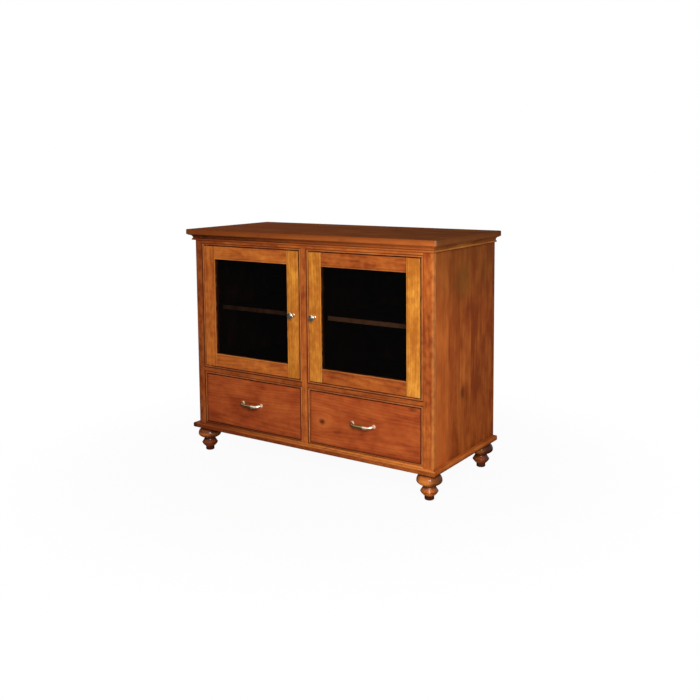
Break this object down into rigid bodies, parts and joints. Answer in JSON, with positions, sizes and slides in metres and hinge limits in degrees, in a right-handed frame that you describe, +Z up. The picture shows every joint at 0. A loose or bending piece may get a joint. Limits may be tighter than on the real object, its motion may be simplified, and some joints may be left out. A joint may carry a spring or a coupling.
{
  "type": "tv stand",
  "caption": "Wooden media cabinet with glass doors on pivot hinges over dovetailed drawers, a beaded face frame, moulded top and base, and turned feet.",
  "frame": {"origin": "on the floor, under the centre of the cabinet's bounding box", "axes": "+X to the cabinet's right as seen from the front, +Y to its back, +Z up; the doors and drawers face -Y"},
  "size_m": [1.197, 0.535, 0.956],
  "materials": {
    "top_cherry": "dark brown stain, satin lacquer",
    "frame_cherry": "red-brown stain, satin lacquer",
    "door_cherry": "honey to red-brown stain, satin lacquer",
    "drawer_cherry": "red-brown stain, satin lacquer",
    "base_cherry": "dark brown stain, semi-gloss lacquer",
    "inside_cherry": "dark stain, matt",
    "drawer_maple": "clear matt finish",
    "smoked_glass": "dark tint, polished",
    "satin_nickel": "satin nickel plate",
    "warm_nickel": "warm satin nickel plate",
    "hinge_brass": "plain brass"
  },
  "bodies": {
    "cabinet": {"back_panel": "inside_cherry", "base_front": "base_cherry", "base_left": "base_cherry", "base_right": "base_cherry", "bottom_panel": "inside_cherry", "bottom_rail": "frame_cherry", "crown_front": "base_cherry", "crown_left": "base_cherry", "crown_right": "base_cherry", "deck_panel": "inside_cherry", "foot_front_left": "base_cherry", "foot_front_right": "base_cherry", "foot_rear_left": "base_cherry", "foot_rear_right": "base_cherry", "hinge_bottom_left_frame_leaf": "hinge_brass", "hinge_bottom_right_frame_leaf": "hinge_brass", "hinge_top_left_frame_leaf": "hinge_brass", "hinge_top_right_frame_leaf": "hinge_brass", "middle_rail_left": "frame_cherry", "middle_rail_right": "frame_cherry", "mullion": "frame_cherry", "partition": "inside_cherry", "runner_left_inner": "drawer_maple", "runner_left_outer": "drawer_maple", "runner_right_inner": "drawer_maple", "runner_right_outer": "drawer_maple", "shelf_left": "inside_cherry", "shelf_right": "inside_cherry", "side_panel_left": "frame_cherry", "side_panel_right": "frame_cherry", "stile_left": "frame_cherry", "stile_right": "frame_cherry", "top_panel": "top_cherry", "top_rail": "frame_cherry"},
    "door_left": {"door_left_bottom_rail": "door_cherry", "door_left_glass": "smoked_glass", "door_left_glass_stop": "door_cherry", "door_left_hinge_stile": "door_cherry", "door_left_knob_stile": "door_cherry", "door_left_top_rail": "door_cherry", "hinge_bottom_left_door_leaf": "hinge_brass", "hinge_top_left_door_leaf": "hinge_brass", "knob_left": "satin_nickel"},
    "door_right": {"door_right_bottom_rail": "door_cherry", "door_right_glass": "smoked_glass", "door_right_glass_stop": "door_cherry", "door_right_hinge_stile": "door_cherry", "door_right_knob_stile": "door_cherry", "door_right_top_rail": "door_cherry", "hinge_bottom_right_door_leaf": "hinge_brass", "hinge_top_right_door_leaf": "hinge_brass", "knob_right": "satin_nickel"},
    "drawer_left": {"drawer_left_bottom": "drawer_maple", "drawer_left_box": "drawer_maple", "drawer_left_front": "drawer_cherry", "pull_left": "warm_nickel"},
    "drawer_right": {"drawer_right_bottom": "drawer_maple", "drawer_right_box": "drawer_maple", "drawer_right_front": "drawer_cherry", "pull_right": "warm_nickel"}
  },
  "joints": [
    {"name": "door_left_swing", "type": "hinge", "parent": "cabinet", "child": "door_left", "pos_m": [-0.509, -0.2335, 0.6339], "axis": [0, 0, -1], "range_deg": [0, 105]},
    {"name": "door_right_swing", "type": "hinge", "parent": "cabinet", "child": "door_right", "pos_m": [0.509, -0.2335, 0.6339], "axis": [0, 0, 1], "range_deg": [0, 105]},
    {"name": "drawer_left_slide", "type": "slide", "parent": "cabinet", "child": "drawer_left", "axis": [0, -1, 0], "range_m": [0, 0.3]},
    {"name": "drawer_right_slide", "type": "slide", "parent": "cabinet", "child": "drawer_right", "axis": [0, -1, 0], "range_m": [0, 0.3]}
  ]
}
